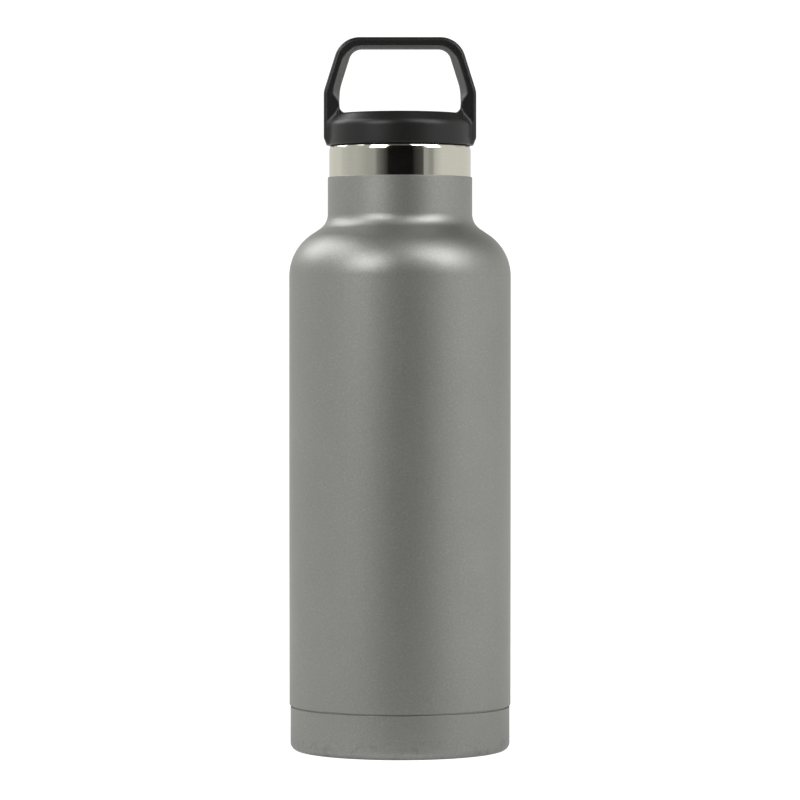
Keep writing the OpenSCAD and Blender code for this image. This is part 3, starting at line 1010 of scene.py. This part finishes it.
def floor():
    """Pale floor: plain white to the camera, with a weaker and shaped glow on the object."""
    m = Nodes("floor_paint")
    mottle = m.noise(3, 2, 0.5)
    seen = m.tree.nodes.new("ShaderNodeLightPath").outputs["Is Camera Ray"]
    spot = m.coordinates()
    x, y = spot["X"], spot["Y"]
    rear_glow = m.span(y, 0.0, 0.4, 0.04, 0.60)
    # Brighter to the left and right, but not in a wedge in front of the object
    front = m.math("MULTIPLY", m.math("MINIMUM", y, 0.0), 0.35)
    beside = m.math("ADD", m.math("ABSOLUTE", x), front)
    side_glow = m.span(beside, 0.0, 0.08, 0.04, 0.32)
    radius = m.math("SQRT", m.math("ADD", m.math("MULTIPLY", x, x), m.math("MULTIPLY", y, y)))
    near_glow = m.span(radius, 0.05, 0.12, 0.33, 0.0)
    glow = m.math("MAXIMUM", m.math("MAXIMUM", rear_glow, side_glow), near_glow)
    set_inputs(m, {
        "Base Color": m.blend(mottle, (0.50, 0.50, 0.50), (0.52, 0.52, 0.52)),
        "Roughness": 0.9,
        "Specular IOR Level": 0.1,
        "Emission Color": (1, 1, 1),
        "Emission Strength": m.math("MAXIMUM", m.math("MULTIPLY", seen, 0.92), glow),
    })
    half = 6.0
    corners = [(-half, -half, 0), (half, -half, 0), (half, half, 0), (-half, half, 0)]
    stage_mesh("floor", corners, [(0, 1, 2, 3)], m.material)


def rear_card():
    """A black card on the floor far behind the object, for dark undersides."""
    m = Nodes("rear_card")
    set_inputs(m, {
        "Base Color": (0, 0, 0),
        "Roughness": m.span(m.noise(4), 0.0, 1.0, 0.8, 1.0),
        "Specular IOR Level": 0.0,
    })
    near, far, z = 0.9, 6.0, 0.0005
    near_half, far_half = 0.12, 0.48
    corners = [(-near_half, near, z), (near_half, near, z), (far_half, far, z), (-far_half, far, z)]
    obj = stage_mesh("rear_card", corners, [(0, 1, 2, 3)], m.material)
    obj.visible_camera = False
    obj.visible_diffuse = False
    obj.visible_shadow = False


# The curtain's brightness at angles round the object, in degrees from the photographer
CURTAIN = [
    (-110, 0.66), (-88, 0.56), (-75, 0.56), (-64, 0.50), (-53, 0.43), (-41, 0.41), (-36, 0.20),
    (-30, 0.13), (-22, 0.05), (-18, 0.005), (20, 0.005), (24, 0.035), (38, 0.09), (38.8, 0.42),
    (46, 0.42), (49, 0.34), (54, 0.36), (58, 0.58), (66, 0.68), (72, 0.74), (110, 0.74),
]
CURTAIN_START, CURTAIN_END = CURTAIN[0][0], CURTAIN[-1][0]
CURTAIN_COLUMNS = 110
CURTAIN_DISTANCE = 1.3
CURTAIN_TOP = 1.2
# Where the brighter foot ends, as a share of the curtain's height, and how much it adds from
# left to right
FOOT_ENDS = (0.16, 0.20)
FOOT_SPAN = (0.4, 0.8)
FOOT_GAIN = (0.2, 0.5)


def curtain_material():
    material = bpy.data.materials.new("curtain")
    material.use_nodes = True
    tree = material.node_tree
    tree.nodes.clear()
    place = tree.nodes.new("ShaderNodeUVMap")
    split = tree.nodes.new("ShaderNodeSeparateXYZ")
    ramp = tree.nodes.new("ShaderNodeValToRGB")
    glow = tree.nodes.new("ShaderNodeEmission")
    out = tree.nodes.new("ShaderNodeOutputMaterial")
    tree.links.new(place.outputs["UV"], split.inputs["Vector"])
    tree.links.new(split.outputs["X"], ramp.inputs["Fac"])
    tree.links.new(ramp.outputs["Color"], glow.inputs["Color"])
    # The brighter foot lights the body but not the steel ring.
    low = tree.nodes.new("ShaderNodeMapRange")
    set_range(low, *FOOT_ENDS, 1, 0)
    across = tree.nodes.new("ShaderNodeMapRange")
    set_range(across, *FOOT_SPAN, *FOOT_GAIN)
    gain = tree.nodes.new("ShaderNodeMath")
    gain.operation = "MULTIPLY"
    strength = tree.nodes.new("ShaderNodeMath")
    strength.operation = "ADD"
    strength.inputs[1].default_value = 1
    tree.links.new(split.outputs["Y"], low.inputs["Value"])
    tree.links.new(split.outputs["X"], across.inputs["Value"])
    tree.links.new(low.outputs["Result"], gain.inputs[0])
    tree.links.new(across.outputs["Result"], gain.inputs[1])
    tree.links.new(gain.outputs[0], strength.inputs[0])
    tree.links.new(strength.outputs[0], glow.inputs["Strength"])
    tree.links.new(glow.outputs["Emission"], out.inputs["Surface"])
    elements = ramp.color_ramp.elements
    elements[0].position = 0
    elements[1].position = 1
    for k, (angle, value) in enumerate(CURTAIN):
        if k == 0:
            element = elements[0]
        elif k == len(CURTAIN) - 1:
            element = elements[-1]
        else:
            element = elements.new((angle - CURTAIN_START) / (CURTAIN_END - CURTAIN_START))
        element.color = (value, value, value, 1)
    return material


def front_curtain():
    """A curved curtain on the photographer's side: dark in the middle, grey beside it."""
    verts, faces = [], []
    for i in range(CURTAIN_COLUMNS + 1):
        turn = (CURTAIN_END - CURTAIN_START) * i / CURTAIN_COLUMNS
        angle = math.radians(CURTAIN_START + turn)
        x, y = CURTAIN_DISTANCE * math.sin(angle), -CURTAIN_DISTANCE * math.cos(angle)
        verts += [(x, y, 0.0), (x, y, CURTAIN_TOP)]
        if i:
            faces.append((2 * i - 2, 2 * i, 2 * i + 1, 2 * i - 1))
    obj = stage_mesh("front_curtain", verts, faces, curtain_material())
    uv = obj.data.uv_layers.new(name="across")
    for loop in obj.data.loops:
        column, row = divmod(loop.vertex_index, 2)
        uv.data[loop.index].uv = (column / CURTAIN_COLUMNS, row)
    obj.visible_camera = False
    obj.visible_shadow = False


LIGHT_AIM = Vector((0, 0, 0.17))
LIGHT_DISTANCE = 1.0


def softbox(name, direction, width, height, radiance):
    """A soft light in a direction from the bottle, facing it."""
    light = bpy.data.lights.new(name, "AREA")
    light.shape = "RECTANGLE"
    light.size = width
    light.size_y = height
    light.energy = radiance * width * height * math.pi
    obj = bpy.data.objects.new(name, light)
    bpy.context.scene.collection.objects.link(obj)
    away = Vector(direction).normalized()
    obj.location = LIGHT_AIM + away * LIGHT_DISTANCE
    obj.rotation_mode = "QUATERNION"
    obj.rotation_quaternion = away.to_track_quat("Z", "Y")
    obj.visible_camera = False


def studio_world():
    """Soft light from all round, less from above; white behind the object."""
    world = bpy.data.worlds.new("studio")
    bpy.context.scene.world = world
    world.use_nodes = True
    tree = world.node_tree
    tree.nodes.clear()
    place = tree.nodes.new("ShaderNodeTexCoord")
    split = tree.nodes.new("ShaderNodeSeparateXYZ")
    span = tree.nodes.new("ShaderNodeMapRange")
    soft = tree.nodes.new("ShaderNodeBackground")
    plain = tree.nodes.new("ShaderNodeBackground")
    path = tree.nodes.new("ShaderNodeLightPath")
    mix = tree.nodes.new("ShaderNodeMixShader")
    out = tree.nodes.new("ShaderNodeOutputWorld")
    set_range(span, 0.25, 0.75, 0.74, 0.08)
    soft.inputs["Color"].default_value = (1.0, 0.995, 0.97, 1)
    plain.inputs["Color"].default_value = (1, 1, 1, 1)
    plain.inputs["Strength"].default_value = 1.1
    tree.links.new(place.outputs["Generated"], split.inputs["Vector"])
    tree.links.new(split.outputs["Z"], span.inputs["Value"])
    tree.links.new(span.outputs["Result"], soft.inputs["Strength"])
    tree.links.new(path.outputs["Is Camera Ray"], mix.inputs["Fac"])
    tree.links.new(soft.outputs["Background"], mix.inputs[1])
    tree.links.new(plain.outputs["Background"], mix.inputs[2])
    tree.links.new(mix.outputs["Shader"], out.inputs["Surface"])


def camera():
    """A long lens from a little above the bottle's middle, as in the photograph."""
    data = bpy.data.cameras.new("camera")
    data.sensor_width = 36
    data.lens = 180
    obj = bpy.data.objects.new("camera", data)
    bpy.context.scene.collection.objects.link(obj)
    obj.location = (0, -1.5535, 0.1643)
    aim = Vector((0, 0, 0.1359))
    obj.rotation_mode = "QUATERNION"
    obj.rotation_quaternion = (aim - obj.location).to_track_quat("-Z", "Y")
    bpy.context.scene.camera = obj


floor()
rear_card()
front_curtain()
# Name, direction, width, height and radiance
for light in (
    ("left_rear_light", (-0.670, 0.380, 0.590), 0.44, 0.50, 3.8),
    ("left_front_light", (-0.520, -0.690, 0.490), 0.46, 0.46, 5.6),
    ("left_side_light", (-0.670, -0.086, 0.737), 0.36, 0.36, 3.4),
    ("right_light", (0.640, -0.410, 0.580), 0.42, 0.62, 4.6),
    ("right_front_light", (0.371, -0.594, 0.710), 0.30, 0.34, 3.6),
    ("high_front_light", (0.270, -0.322, 0.990), 0.42, 0.26, 1.1),
):
    softbox(*light)
studio_world()
camera()
bpy.context.scene.view_settings.view_transform = "Standard"
